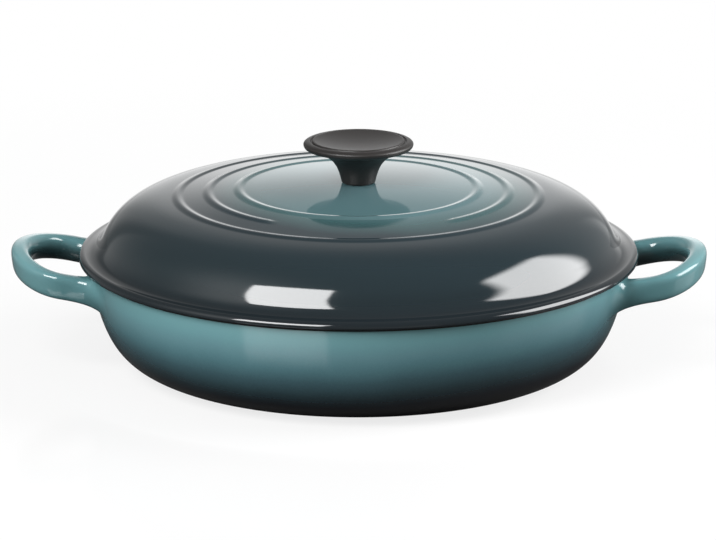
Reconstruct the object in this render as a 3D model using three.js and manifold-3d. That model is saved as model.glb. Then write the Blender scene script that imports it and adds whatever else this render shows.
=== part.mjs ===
// A round shallow casserole in enamelled cast iron: a bowl cast with two loop handles, a domed lid that
// rests on its rim, and a moulded knob that one screw holds to the lid.
// Millimetres, +Z up, handles along X. The origin is the middle of the base, on the surface it stands on.
import * as THREE from 'three';
import { mergeVertices } from 'three/addons/utils/BufferGeometryUtils.js';
import Module from 'manifold-3d';

const wasm = await Module();
wasm.setup();

// Clearances
const SEAT_GAP = 0.3; // between pieces that bear on each other
const LIP_CLEARANCE = 1.8; // lip of the lid inside the rim of the bowl
const BORE_CLEARANCE = 0.6; // bore of the lid round the screw
const THREAD_CLEARANCE = 0.3; // screw inside its bush and washer

// Bowl
const RIM_RADIUS = 149.5;
const BOWL_HEIGHT = 60.3;
const BASE_RADIUS = 103;
const WALL = 3.8;
const FLOOR = 4.6;
const RIM_ROUND = 1.2;
const FOOT_WIDTH = 14; // ground ring that the bowl stands on
const FOOT_DEPTH = 0.8; // hollow inside that ring
const HEEL_ANGLE = 6; // degrees, slope of the wall where it leaves the base
const HEEL_PULL = 36; // how strongly that slope carries on round the heel
const WALL_LEAN = 15.2; // degrees, outward lean of the wall at the rim
const WALL_PULL = 36; // how strongly that lean carries down the wall

// Loop handles
const HANDLE_REACH = 40.8; // outer edge of the loop past the rim
const HANDLE_SPREAD = 79.2; // across the two arms at their widest, on the centre line
const HANDLE_BEND = 24.5; // depth of the elliptical end, on the centre line
const HANDLE_TOE = 5; // each arm draws in by this much at its root
const BAR_WIDTH = 10.7;
const BAR_HEIGHT = 13.9;
const BAR_FULLNESS = 3.6; // 2 makes the section of the bar an ellipse, more makes it squarer
const TIP_DROP = 1; // centre line at the tip, below the top of the rim
const ROOT_DROP = 10; // centre line at the root, below the top of the rim
const HANDLE_SWEEP = 1.7; // 1 makes the arms climb evenly, more makes them climb towards the tip
const ROOT_FILLET = 10; // fillet at the sides of each root
const ROOT_LIFT = 2; // fillet above and below each root

// Lid
const BRIM_OVERHANG = 3.5; // brim past the rim of the bowl
const BRIM_WIDTH = 13.7; // brim and hollow sweep outside the steepest circle of the dome
const BRIM_THICKNESS = 4;
const BRIM_ROUND = 3.6; // width of the rounded edge on top
const BRIM_UNDERCUT = 0.9; // rounding of the edge below
const SWEEP_RISE = 8.4; // steepest circle of the dome above the brim
const SWEEP_FALL = 20; // degrees by which the sweep still falls where the rounded edge begins
const LID_WALL = 3.4;
const LID_RISE = 40.7; // top of the crown above the underside of the brim
const CROWN_RADIUS = 707; // spherical crown
const SHOULDER_TOP_PULL = 25.2; // how strongly the crown carries on into the shoulder
const SHOULDER_TOP_ANGLE = 2.5; // degrees, slope of the shoulder where it leaves the crown
const SHOULDER_FOOT_PULL = 10.7; // how strongly the steepest slope carries up the shoulder
const SHOULDER_FOOT_ANGLE = 62.9; // degrees, steepest slope of the dome
const LIP_DEPTH = 3; // locating lip below the brim
const LIP_WIDTH = 4.7;
const LIP_ROUND = 0.8;
const PAD_RADIUS = 11; // thickened seat of the knob's screw
const PAD_THICKNESS = 5;

// Raised ridges on the lid
const RIDGE_RADIUS = 98.8; // crest of the outermost ridge
const RIDGE_PITCH = 16.75;
const RIDGE_COUNT = 3;
const RIDGE_WIDTH = 8.5;
const RIDGE_HEIGHT = 0.7;
const OPEN_RIDGE = 1; // the ridge that is left open at the front, counted from the outermost
const OPEN_ANGLE = 66; // degrees, flat stretch of that ridge
const OPEN_FADE = 6; // degrees over which each end sinks into the crown
const OPEN_CENTRE = 2.6; // degrees from the front, towards +X

// Knob
const KNOB_RADIUS = 30;
const KNOB_HEIGHT = 23.6; // lip of the dish above the foot
const STEM_RADIUS = 8.9; // at the foot
const STEM_ROUND = 0.8;
const STEM_LEAN = 14; // degrees, how the stem widens on its way up
const STEM_PULL = 7.7; // how strongly the stem carries on into the flare
const DISC_PULL = 15.7; // how strongly the underside of the disc carries on into the flare
const DISC_ANGLE = 14.3; // degrees, slope of that underside
const EDGE_DROP = 2.1; // widest circle of the disc below the lip
const EDGE_ROUND = 2.3; // radius of the edge under that circle
const DISH_RADIUS = 24.4; // lip of the dish
const DISH_DEPTH = 2.4; // middle of the dish below its lip
const GROOVE_WIDTH = 0.8; // groove round the dish
const GROOVE_DEPTH = 0.8;
const BORDER_STEP = 0.4; // top of the rounded border below the lip

// Screw, washer and threaded bush of the knob
const SCREW_RADIUS = 2.5;
const SCREW_ENGAGEMENT = 8; // length of thread inside the bush
const SCREW_TIP = 0.5; // chamfer at the end
const HEAD_RADIUS = 5.6;
const HEAD_HEIGHT = 3.2;
const HEAD_CROWN = 1.4; // height of the domed part of the head
const RECESS_WIDTH = 1.4; // cross recess
const RECESS_LENGTH = 6;
const RECESS_DEPTH = 1.6;
const WASHER_RADIUS = 4.6;
const WASHER_THICKNESS = 1.4;
const WASHER_SPLIT = 14; // degrees of the gap in the spring washer
const BUSH_RADIUS = 5;
const BUSH_GROOVE = 0.9; // depth of the groove that keys the bush in the moulding
const BUSH_GROOVE_WIDTH = 2.4;
const BUSH_SPARE = 1.5; // hole past the end of the screw
const BUSH_CAP = 2; // closed end of the bush

// Fineness of the curves
const CASTING_STEPS = 56;
const KNOB_STEPS = 32;
const SMALL_STEPS = 24;
const BAR_SIDES = 12;
const BAR_STEPS = 28;
const WALL_STEPS = 12;
const ROOM_STEPS = 10;
const SHOULDER_STEPS = 10;
const SWEEP_STEPS = 5;
const EDGE_STEPS = 4;
const CROWN_STEPS = [0.7, 0.4]; // rings of the crown as shares of the inner ridge's radius
const UNDERSIDE_STEPS = 6;
const SAMPLES = 60; // points at which a curve is measured

const rad = THREE.MathUtils.degToRad;
const at = (x, y) => new THREE.Vector2(x, y);
const polar = (length, degrees) => at(length * Math.cos(rad(degrees)), length * Math.sin(rad(degrees)));

// A profile of radius and height, turned about Z.
function revolve(profile, steps) {
  const geometry = new THREE.LatheGeometry(profile, steps);
  geometry.rotateX(Math.PI / 2);
  return geometry;
}

// A closed surface as a solid that can be joined and cut.
function solid(geometry) {
  const bare = geometry.clone();
  bare.deleteAttribute('normal');
  bare.deleteAttribute('uv');
  const merged = mergeVertices(bare, 1e-3);
  const corners = Array.from(merged.index.array);
  const triangles = [];
  for (let i = 0; i < corners.length; i += 3) {
    const [a, b, c] = corners.slice(i, i + 3);
    if (a !== b && b !== c && c !== a) triangles.push(a, b, c);
  }
  return new wasm.Manifold(new wasm.Mesh({
    numProp: 3,
    vertProperties: new Float32Array(merged.attributes.position.array),
    triVerts: new Uint32Array(triangles),
  }));
}

// A solid as the surface of a mesh.
function surface(body) {
  const mesh = body.getMesh();
  const geometry = new THREE.BufferGeometry();
  geometry.setAttribute('position', new THREE.BufferAttribute(mesh.vertProperties, 3));
  geometry.setIndex(new THREE.BufferAttribute(mesh.triVerts, 1));
  geometry.computeVertexNormals();
  return geometry;
}

// Points of a plane curve moved to its left, square to it, by a thickness that changes evenly along it.
function offsetCurve(curve, divisions, firstThickness, lastThickness) {
  const points = [];
  for (let i = 0; i <= divisions; i += 1) {
    const u = i / divisions;
    const thickness = THREE.MathUtils.lerp(firstThickness, lastThickness, u);
    const tangent = curve.getTangentAt(u);
    points.push(curve.getPointAt(u).add(at(-tangent.y, tangent.x).multiplyScalar(thickness)));
  }
  return points;
}

// A rounded corner from one point to another.
function corner(from, vertex, to, divisions = 3) {
  return new THREE.QuadraticBezierCurve(from, vertex, to).getPoints(divisions);
}

// The value of a polyline's second coordinate where its first one is given.
function interpolate(points, key, other, value) {
  const sorted = [...points].sort((a, b) => a[key] - b[key]);
  const next = sorted.findIndex((point) => point[key] >= value);
  if (next < 0) return sorted[sorted.length - 1][other];
  if (next === 0) return sorted[0][other];
  const low = sorted[next - 1];
  const high = sorted[next];
  return THREE.MathUtils.mapLinear(value, low[key], high[key], low[other], high[other]);
}

// Bowl: the outer wall swells from the foot round a soft heel, then leans out to the rim.
const wallFoot = at(BASE_RADIUS, 0);
const wallHead = at(RIM_RADIUS, BOWL_HEIGHT - RIM_ROUND);
const wallCurve = new THREE.CubicBezierCurve(
  wallFoot,
  wallFoot.clone().add(polar(HEEL_PULL, HEEL_ANGLE)),
  wallHead.clone().sub(polar(WALL_PULL, 90 - WALL_LEAN)),
  wallHead,
);
const wallPoints = wallCurve.getSpacedPoints(SAMPLES);
const rimInside = RIM_RADIUS - WALL;

function bowlBlank() {
  const hollow = BASE_RADIUS - FOOT_WIDTH;
  const profile = [
    at(0, FOOT_DEPTH),
    at(hollow - FOOT_DEPTH, FOOT_DEPTH),
    at(hollow, 0),
    ...wallCurve.getSpacedPoints(WALL_STEPS),
    ...corner(wallHead, at(RIM_RADIUS, BOWL_HEIGHT), at(RIM_RADIUS - RIM_ROUND, BOWL_HEIGHT)).slice(1),
    at(0, BOWL_HEIGHT),
  ];
  return solid(revolve(profile, CASTING_STEPS));
}

// The room inside the bowl, which is open through the rim and eased at its inner edge.
function bowlRoom() {
  const inner = offsetCurve(wallCurve, ROOM_STEPS, FLOOR, WALL).filter((point) => point.y > FLOOR);
  const edge = at(rimInside, BOWL_HEIGHT - RIM_ROUND);
  const below = inner.filter((point) => point.y < edge.y - RIM_ROUND);
  const mouth = at(rimInside + RIM_ROUND / 2, BOWL_HEIGHT);
  const profile = [
    at(0, FLOOR),
    at(below[0].x - FLOOR, FLOOR),
    ...below,
    ...corner(edge, at(rimInside, BOWL_HEIGHT), mouth),
    at(mouth.x, BOWL_HEIGHT + WALL),
    at(0, BOWL_HEIGHT + WALL),
  ];
  return solid(revolve(profile, CASTING_STEPS));
}

// The centre line of a loop handle: each arm leaves the wall low, spreads a little and climbs more and
// more on its way to the elliptical bend that joins the two arms.
function handlePath() {
  const rootHeight = BOWL_HEIGHT - ROOT_DROP;
  const rootY = HANDLE_SPREAD / 2 - HANDLE_TOE;
  const wallRadius = interpolate(wallPoints, 'y', 'x', rootHeight);
  const rootX = Math.sqrt(wallRadius ** 2 - rootY ** 2) - WALL;
  const tipX = RIM_RADIUS + HANDLE_REACH - BAR_WIDTH / 2;
  const bendX = tipX - HANDLE_BEND;
  const tipHeight = BOWL_HEIGHT - TIP_DROP;
  const climb = (point) => {
    const share = Math.max((point.x - rootX) / (tipX - rootX), 0) ** HANDLE_SWEEP;
    return new THREE.Vector3(point.x, point.y, THREE.MathUtils.lerp(rootHeight, tipHeight, share));
  };
  const roundness = (4 / 3) * (Math.SQRT2 - 1);
  const wide = HANDLE_SPREAD / 2;
  const middle = (rootX + bendX) / 2;
  const shoulder = bendX + roundness * HANDLE_BEND;
  const side = roundness * wide;
  const tip = at(tipX, 0);
  const plan = new THREE.CurvePath();
  plan.add(new THREE.QuadraticBezierCurve(at(rootX, rootY), at(middle, wide), at(bendX, wide)));
  plan.add(new THREE.CubicBezierCurve(at(bendX, wide), at(shoulder, wide), at(tipX, side), tip));
  plan.add(new THREE.CubicBezierCurve(tip, at(tipX, -side), at(shoulder, -wide), at(bendX, -wide)));
  plan.add(new THREE.QuadraticBezierCurve(at(bendX, -wide), at(middle, -wide), at(rootX, -rootY)));
  return new THREE.CatmullRomCurve3(plan.getSpacedPoints(SAMPLES).map(climb));
}

// How far a fillet of the given radius spreads, at a distance from the wall that it runs into.
function filletSpread(radius, distance) {
  const rest = Math.max(radius - Math.max(distance, 0), 0);
  return radius - Math.sqrt(radius ** 2 - rest ** 2);
}

// A loop handle: a tall oval bar lofted along its centre line, with filleted roots inside the wall.
function handle() {
  const path = handlePath();
  const length = path.getLength();
  const power = (value) => Math.sign(value) * Math.abs(value) ** (2 / BAR_FULLNESS);
  const vertices = [];
  const ends = [];
  for (let i = 0; i <= BAR_STEPS; i += 1) {
    const u = (1 - Math.cos((Math.PI * i) / BAR_STEPS)) / 2;
    const centre = path.getPointAt(u);
    const along = path.getTangentAt(u);
    const across = new THREE.Vector3(0, 0, 1).cross(along).normalize();
    const up = along.clone().cross(across);
    const fromWall = Math.min(u, 1 - u) * length - WALL;
    const halfWidth = BAR_WIDTH / 2 + filletSpread(ROOT_FILLET, fromWall);
    const halfHeight = BAR_HEIGHT / 2 + filletSpread(ROOT_LIFT, fromWall);
    for (let j = 0; j < BAR_SIDES; j += 1) {
      const turn = (2 * Math.PI * j) / BAR_SIDES;
      const point = centre.clone();
      point.addScaledVector(across, halfWidth * power(Math.cos(turn)));
      point.addScaledVector(up, halfHeight * power(Math.sin(turn)));
      vertices.push(point);
    }
    if (i === 0 || i === BAR_STEPS) ends.push(centre);
  }
  const first = vertices.length;
  vertices.push(...ends);
  const triangles = [];
  for (let j = 0; j < BAR_SIDES; j += 1) {
    const k = (j + 1) % BAR_SIDES;
    for (let i = 0; i < BAR_STEPS; i += 1) {
      const low = i * BAR_SIDES;
      const high = low + BAR_SIDES;
      triangles.push(low + j, low + k, high + k, low + j, high + k, high + j);
    }
    const last = BAR_STEPS * BAR_SIDES;
    triangles.push(first, k, j, first + 1, last + j, last + k);
  }
  const geometry = new THREE.BufferGeometry().setFromPoints(vertices);
  geometry.setIndex(triangles);
  return geometry;
}

// The casting: bowl blank and both handles in one, hollowed to the wall's thickness.
function potGeometry() {
  const right = handle();
  const left = right.clone().rotateZ(Math.PI);
  return surface(bowlBlank().add(solid(right)).add(solid(left)).subtract(bowlRoom()));
}

// Lid, with its heights counted from the underside of the brim.
const lidRadius = RIM_RADIUS + BRIM_OVERHANG;
const boreRadius = SCREW_RADIUS + BORE_CLEARANCE;
const padUnderside = LID_RISE - PAD_THICKNESS;
const crownDrop = (radius, sphere) => sphere - Math.sqrt(sphere ** 2 - radius ** 2);
const crownTop = (radius) => LID_RISE - crownDrop(radius, CROWN_RADIUS);
const crownUnder = (radius) => LID_RISE - LID_WALL - crownDrop(radius, CROWN_RADIUS - LID_WALL);
const shoulderFoot = at(lidRadius - BRIM_WIDTH, BRIM_THICKNESS + SWEEP_RISE);
const shoulderHead = at(RIDGE_RADIUS, crownTop(RIDGE_RADIUS));
const shoulderCurve = new THREE.CubicBezierCurve(
  shoulderFoot,
  shoulderFoot.clone().add(polar(SHOULDER_FOOT_PULL, 180 - SHOULDER_FOOT_ANGLE)),
  shoulderHead.clone().add(polar(SHOULDER_TOP_PULL, -SHOULDER_TOP_ANGLE)),
  shoulderHead,
);
const shoulderPoints = shoulderCurve.getSpacedPoints(SAMPLES);
const footSlope = Math.tan(rad(SHOULDER_FOOT_ANGLE));
const ridgeCrest = (index) => RIDGE_RADIUS - index * RIDGE_PITCH;

// Height of a ridge over the crown: a round bead with hollow feet, from half a cosine wave squared.
function ridgeRise(offset) {
  const share = Math.min(Math.abs(offset) / RIDGE_WIDTH, 0.5);
  return RIDGE_HEIGHT * Math.cos(Math.PI * share) ** 2;
}

// Outside of the lid without its ridges, at a radius.
function lidTop(radius) {
  if (radius <= RIDGE_RADIUS) return crownTop(radius);
  return interpolate(shoulderPoints, 'x', 'y', radius);
}

// Points across all the ridges, from the outermost one in.
function ridgePoints() {
  const shares = [0.5, 0.32, 0.16, 0, -0.16, -0.32, -0.5];
  const points = [];
  for (let index = 0; index < RIDGE_COUNT; index += 1) {
    for (const share of shares) {
      const radius = ridgeCrest(index) + share * RIDGE_WIDTH;
      points.push(at(radius, lidTop(radius) + ridgeRise(share * RIDGE_WIDTH)));
    }
  }
  return points;
}

// How much of the open ridge is taken away at an angle from the front: all of it in the middle of the
// opening and none past the faded ends.
function opening(angle) {
  const turn = THREE.MathUtils.euclideanModulo(angle - rad(OPEN_CENTRE), 2 * Math.PI);
  const away = Math.min(turn, 2 * Math.PI - turn);
  return 1 - THREE.MathUtils.smoothstep(away, rad(OPEN_ANGLE / 2), rad(OPEN_ANGLE / 2 + OPEN_FADE));
}

// Sinks the open ridge into the crown at the front of the lid.
function openRidge(geometry) {
  const position = geometry.attributes.position;
  for (let i = 0; i < position.count; i += 1) {
    const x = position.getX(i);
    const y = position.getY(i);
    const z = position.getZ(i);
    const radius = Math.hypot(x, y);
    const rise = ridgeRise(radius - ridgeCrest(OPEN_RIDGE));
    const outside = z > lidTop(radius) - LID_WALL / 2;
    if (rise > 0 && outside) position.setZ(i, z - rise * opening(Math.atan2(x, -y)));
  }
}

function lidGeometry() {
  const lipOutside = rimInside - LIP_CLEARANCE;
  const under = offsetCurve(shoulderCurve, UNDERSIDE_STEPS, LID_WALL, LID_WALL).reverse();
  const underFoot = under[under.length - 1];
  const lipInside = lipOutside - LIP_WIDTH;
  const lipHead = at(lipInside, underFoot.y - (lipInside - underFoot.x) * footSlope);
  const ridgesOutside = RIDGE_RADIUS + RIDGE_WIDTH / 2;
  const ridgesInside = ridgeCrest(RIDGE_COUNT - 1) - RIDGE_WIDTH / 2;
  const padFoot = PAD_RADIUS + PAD_THICKNESS - LID_WALL;
  const brimTop = at(lidRadius - BRIM_ROUND, BRIM_THICKNESS);
  const edge = new THREE.EllipseCurve(
    brimTop.x, BRIM_UNDERCUT, BRIM_ROUND, BRIM_THICKNESS - BRIM_UNDERCUT, 0, Math.PI / 2,
  );
  const sweepWidth = brimTop.x - shoulderFoot.x;
  const fall = Math.tan(rad(SWEEP_FALL));
  const bendWidth = (SWEEP_RISE - sweepWidth * fall) / (footSlope - fall);
  const sweepBend = at(shoulderFoot.x + bendWidth, shoulderFoot.y - bendWidth * footSlope);
  const sweepPull = shoulderFoot.clone().lerp(sweepBend, 0.5);
  const sweep = new THREE.CubicBezierCurve(brimTop, sweepBend, sweepPull, shoulderFoot);
  const shoulder = shoulderCurve.getSpacedPoints(SHOULDER_STEPS).slice(1);
  const clear = shoulder.filter((point) => point.x > ridgesOutside + RIDGE_HEIGHT);
  const start = at(boreRadius, padUnderside);
  const profile = [
    start,
    at(PAD_RADIUS, padUnderside),
    at(padFoot, crownUnder(padFoot)),
    at(ridgesInside, crownUnder(ridgesInside)),
    ...under,
    lipHead,
    ...corner(at(lipInside, LIP_ROUND - LIP_DEPTH), at(lipInside, -LIP_DEPTH),
      at(lipInside + LIP_ROUND, -LIP_DEPTH), 2),
    ...corner(at(lipOutside - LIP_ROUND, -LIP_DEPTH), at(lipOutside, -LIP_DEPTH),
      at(lipOutside, LIP_ROUND - LIP_DEPTH), 2),
    at(lipOutside, 0),
    ...corner(at(lidRadius - BRIM_UNDERCUT, 0), at(lidRadius, 0), at(lidRadius, BRIM_UNDERCUT), 2),
    ...edge.getPoints(EDGE_STEPS).slice(1),
    ...sweep.getPoints(SWEEP_STEPS).slice(1),
    ...clear,
    ...ridgePoints(),
    ...CROWN_STEPS.map((share) => at(share * ridgesInside, crownTop(share * ridgesInside))),
    at(boreRadius, crownTop(boreRadius)),
    start.clone(),
  ];
  const geometry = revolve(profile, CASTING_STEPS);
  openRidge(geometry);
  return geometry;
}

// Threaded bush of the knob, with its heights counted from the foot of the knob. A skin adds to every
// outside face, so that the same outline also gives the pocket that the bush is moulded into.
const bushHole = SCREW_ENGAGEMENT + BUSH_SPARE;
const bushLength = bushHole + BUSH_CAP;

function bushOutline(skin) {
  const radius = BUSH_RADIUS + skin;
  const waist = radius - BUSH_GROOVE;
  const low = (bushLength - BUSH_GROOVE_WIDTH) / 2;
  const high = (bushLength + BUSH_GROOVE_WIDTH) / 2;
  return [
    at(radius, 0),
    at(radius, low - BUSH_GROOVE + skin),
    at(waist, low + skin),
    at(waist, high - skin),
    at(radius, high + BUSH_GROOVE - skin),
    at(radius, bushLength + skin),
    at(0, bushLength + skin),
  ];
}

function bushGeometry() {
  const hole = SCREW_RADIUS + THREAD_CLEARANCE;
  const profile = [at(0, bushHole), at(hole, bushHole), at(hole, 0), ...bushOutline(0)];
  return revolve(profile, SMALL_STEPS);
}

// Knob: a stem that flares into a disc with a rounded border, a fine groove and a dished top.
function knobGeometry() {
  const stemFoot = at(STEM_RADIUS, STEM_ROUND);
  const edgeCentre = at(KNOB_RADIUS - EDGE_ROUND, KNOB_HEIGHT - EDGE_DROP);
  const edgeFoot = at(edgeCentre.x, edgeCentre.y - EDGE_ROUND);
  const borderInside = DISH_RADIUS + GROOVE_WIDTH;
  const lip = at(DISH_RADIUS, KNOB_HEIGHT);
  const dish = at(0, KNOB_HEIGHT - DISH_DEPTH);
  const stem = new THREE.CubicBezierCurve(
    stemFoot,
    stemFoot.clone().add(polar(STEM_PULL, 90 - STEM_LEAN)),
    edgeFoot.clone().sub(polar(DISC_PULL, DISC_ANGLE)),
    edgeFoot,
  );
  const edge = new THREE.EllipseCurve(edgeCentre.x, edgeCentre.y, EDGE_ROUND, EDGE_ROUND, -Math.PI / 2, 0);
  const border = new THREE.EllipseCurve(
    borderInside, edgeCentre.y, KNOB_RADIUS - borderInside, EDGE_DROP - BORDER_STEP, 0, Math.PI / 2,
  );
  const hollow = new THREE.QuadraticBezierCurve(lip, at(DISH_RADIUS / 2, dish.y), dish);
  const profile = [
    ...bushOutline(SEAT_GAP).reverse(),
    ...corner(at(STEM_RADIUS - STEM_ROUND, 0), at(STEM_RADIUS, 0), stemFoot, 2),
    ...stem.getSpacedPoints(7).slice(1),
    ...edge.getPoints(3).slice(1),
    ...border.getPoints(4).slice(1),
    at(DISH_RADIUS + GROOVE_WIDTH / 2, KNOB_HEIGHT - GROOVE_DEPTH),
    ...hollow.getPoints(3),
  ];
  return revolve(profile, KNOB_STEPS);
}

// Spring washer: a flat ring with a gap, with its heights counted down from the pad of the lid.
function washerGeometry() {
  const half = rad(WASHER_SPLIT / 2);
  const inside = SCREW_RADIUS + THREAD_CLEARANCE;
  const ring = new THREE.Shape();
  ring.absarc(0, 0, WASHER_RADIUS, half, 2 * Math.PI - half, false);
  ring.absarc(0, 0, inside, 2 * Math.PI - half, half, true);
  const options = { depth: WASHER_THICKNESS, bevelEnabled: false, curveSegments: SMALL_STEPS / 2 };
  const geometry = new THREE.ExtrudeGeometry(ring, options);
  geometry.translate(0, 0, -SEAT_GAP - WASHER_THICKNESS);
  return geometry;
}

// Screw: a pan head below the washer, and a shank that runs up through lid and knob into the bush.
function screwGeometry() {
  const headTop = -2 * SEAT_GAP - WASHER_THICKNESS;
  const headBottom = headTop - HEAD_HEIGHT;
  const tip = PAD_THICKNESS + SEAT_GAP + SCREW_ENGAGEMENT;
  const crown = new THREE.QuadraticBezierCurve(
    at(HEAD_RADIUS / 2, headBottom),
    at(HEAD_RADIUS, headBottom),
    at(HEAD_RADIUS, headBottom + HEAD_CROWN),
  );
  const profile = [
    at(0, headBottom),
    ...crown.getPoints(4),
    at(HEAD_RADIUS, headTop),
    at(SCREW_RADIUS, headTop),
    at(SCREW_RADIUS, tip - SCREW_TIP),
    at(SCREW_RADIUS - SCREW_TIP, tip),
    at(0, tip),
  ];
  let body = solid(revolve(profile, SMALL_STEPS));
  for (const turn of [0, Math.PI / 2]) {
    const slot = new THREE.BoxGeometry(RECESS_LENGTH, RECESS_WIDTH, 2 * RECESS_DEPTH);
    slot.rotateZ(turn);
    slot.translate(0, 0, headBottom);
    body = body.subtract(solid(slot));
  }
  return surface(body);
}

function piece(name, geometry, color, roughness, metalness) {
  const mesh = new THREE.Mesh(geometry, new THREE.MeshStandardMaterial({ color, roughness, metalness }));
  mesh.name = name;
  return mesh;
}

// Assembly: the lid stands on the rim, its knob on the crown, and the fastening hangs under the pad.
const fastening = new THREE.Group();
fastening.position.z = padUnderside;
fastening.add(piece('knob_washer', washerGeometry(), '#a3a6a8', 0.35, 1));
fastening.add(piece('knob_screw', screwGeometry(), '#b6b9bb', 0.3, 1));

const knobGroup = new THREE.Group();
knobGroup.position.z = LID_RISE + SEAT_GAP;
knobGroup.add(piece('knob', knobGeometry(), '#28292b', 0.5, 0));
knobGroup.add(piece('knob_insert', bushGeometry(), '#b08d57', 0.4, 1));

const lidGroup = new THREE.Group();
lidGroup.position.z = BOWL_HEIGHT + SEAT_GAP;
lidGroup.add(piece('lid', lidGeometry(), '#3d5459', 0.15, 0));
lidGroup.add(knobGroup, fastening);

const casserole = new THREE.Group();
casserole.add(piece('pot', potGeometry(), '#557f85', 0.15, 0));
casserole.add(lidGroup);

export default casserole;
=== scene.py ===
# %% [markdown]
# # A shallow casserole in enamelled cast iron
#
# The real pot is two iron castings: a bowl poured together with its two loop handles, and a domed lid with
# raised ridges. Both are sprayed with coloured glass powder and fired until it melts into enamel. A moulded
# knob is held to the lid by one screw. The solid model of these pieces is loaded first, and everything made
# here lies in the same frame, in metres, with the origin under the middle of the base.

# %% Load the solid model
import math

import bpy
import numpy as np
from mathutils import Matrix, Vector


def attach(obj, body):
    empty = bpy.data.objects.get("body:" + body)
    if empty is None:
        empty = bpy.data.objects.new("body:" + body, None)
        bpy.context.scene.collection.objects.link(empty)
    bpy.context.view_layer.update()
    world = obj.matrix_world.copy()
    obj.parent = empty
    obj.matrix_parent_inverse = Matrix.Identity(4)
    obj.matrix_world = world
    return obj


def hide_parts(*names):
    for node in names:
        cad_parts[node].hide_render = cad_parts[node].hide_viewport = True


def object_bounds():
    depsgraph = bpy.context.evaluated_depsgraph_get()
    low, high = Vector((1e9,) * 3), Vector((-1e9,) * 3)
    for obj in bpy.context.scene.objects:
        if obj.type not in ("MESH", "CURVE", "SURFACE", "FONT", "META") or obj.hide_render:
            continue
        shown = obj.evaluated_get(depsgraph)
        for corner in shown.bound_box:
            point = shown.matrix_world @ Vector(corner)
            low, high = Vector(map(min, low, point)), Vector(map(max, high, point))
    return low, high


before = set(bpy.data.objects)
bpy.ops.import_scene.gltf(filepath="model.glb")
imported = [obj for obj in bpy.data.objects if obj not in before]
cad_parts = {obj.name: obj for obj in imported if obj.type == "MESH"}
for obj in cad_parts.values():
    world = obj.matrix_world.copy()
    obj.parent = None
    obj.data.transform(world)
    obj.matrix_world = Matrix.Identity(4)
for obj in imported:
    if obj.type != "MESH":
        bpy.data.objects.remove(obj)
cad_box = [[float(value) for value in corner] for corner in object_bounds()]
MM = 0.001
size_mm = (np.array(cad_box[1]) - np.array(cad_box[0])) / MM
print("solid model, mm:", size_mm.round(1), "nodes:", sorted(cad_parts))

# %% [markdown]
# ## The camera
#
# A product photograph of this kind is taken from a few metres away with a long lens, so the near and the
# far handle look almost equally large. The camera is placed by its distance, its height above the horizon
# and the side it stands on, aimed at a point inside the pot, and turned a little about its line of sight.

# %% Camera
TARGET = np.array([-0.36, 0.0, 51.8]) * MM
DISTANCE = 2.754
ELEVATION = math.radians(15.15)
AZIMUTH = math.radians(1.4)
ROLL = math.radians(-0.11)
LENS_MM = 252.7
SENSOR_MM = 36.0


def direction(azimuth, elevation):
    """Unit vector: azimuth is counted from the front (-Y) towards +X, elevation from the horizon up."""
    level = math.cos(elevation)
    return np.array([math.sin(azimuth) * level, -math.cos(azimuth) * level, math.sin(elevation)])


def facing_axes(azimuth, elevation, roll):
    """The directions to the right and upwards for a thing that faces the pot from there, turned by roll."""
    right = np.array([math.cos(azimuth), math.sin(azimuth), 0.0])
    up = np.cross(direction(azimuth, elevation), right)
    turned_right = math.cos(roll) * right + math.sin(roll) * up
    turned_up = math.cos(roll) * up - math.sin(roll) * right
    return turned_right, turned_up


def add_object(name, data):
    """An object that is part of the scene."""
    thing = bpy.data.objects.new(name, data)
    bpy.context.scene.collection.objects.link(thing)
    return thing


def place_facing(thing, position, azimuth, elevation, roll=0.0):
    """Puts a camera or a lamp at a position, facing the way that a thing in that direction faces the pot."""
    matrix = np.eye(4)
    matrix[:3, :2] = np.transpose(facing_axes(azimuth, elevation, roll))
    matrix[:3, 2] = direction(azimuth, elevation)
    matrix[:3, 3] = position
    thing.matrix_world = matrix.T.tolist()


camera_data = bpy.data.cameras.new("photo_camera")
camera_data.lens = LENS_MM
camera_data.sensor_width = SENSOR_MM
camera = add_object("photo_camera", camera_data)
camera_place = TARGET + DISTANCE * direction(AZIMUTH, ELEVATION)
place_facing(camera, camera_place, AZIMUTH, ELEVATION, ROLL)
bpy.context.scene.camera = camera
print("camera at, m:", camera_place.round(4))

# %% [markdown]
# ## Colours and shader nodes
#
# Colours are written as sRGB hex values, as a paint chart gives them, and one function turns them into the
# linear values that the renderer adds up. Every shader is a small graph of nodes. It could be wired by hand
# in the editor, but written down it can be read and changed. A second function therefore adds one node with
# its settings and inputs: an input is a value, the output that feeds it, or the node whose output does. The
# inputs are named, or listed in the order in which the node shows them. A range, for one, lists a value, the
# two ends between which it is read, and the two ends that these become, which are 0 and 1 if left out.

# %% Helpers for materials
SMOOTH = {"interpolation_type": "SMOOTHSTEP"}


def linear(hex_colour):
    """sRGB to linear: a channel under 0.04045 is divided by 12.92, the others follow the 2.4 power law."""
    channels = np.array([int(hex_colour[i:i + 2], 16) for i in (1, 3, 5)]) / 255.0
    curved = ((channels + 0.055) / 1.055) ** 2.4
    return (*np.where(channels < 0.04045, channels / 12.92, curved).tolist(), 1.0)


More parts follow.
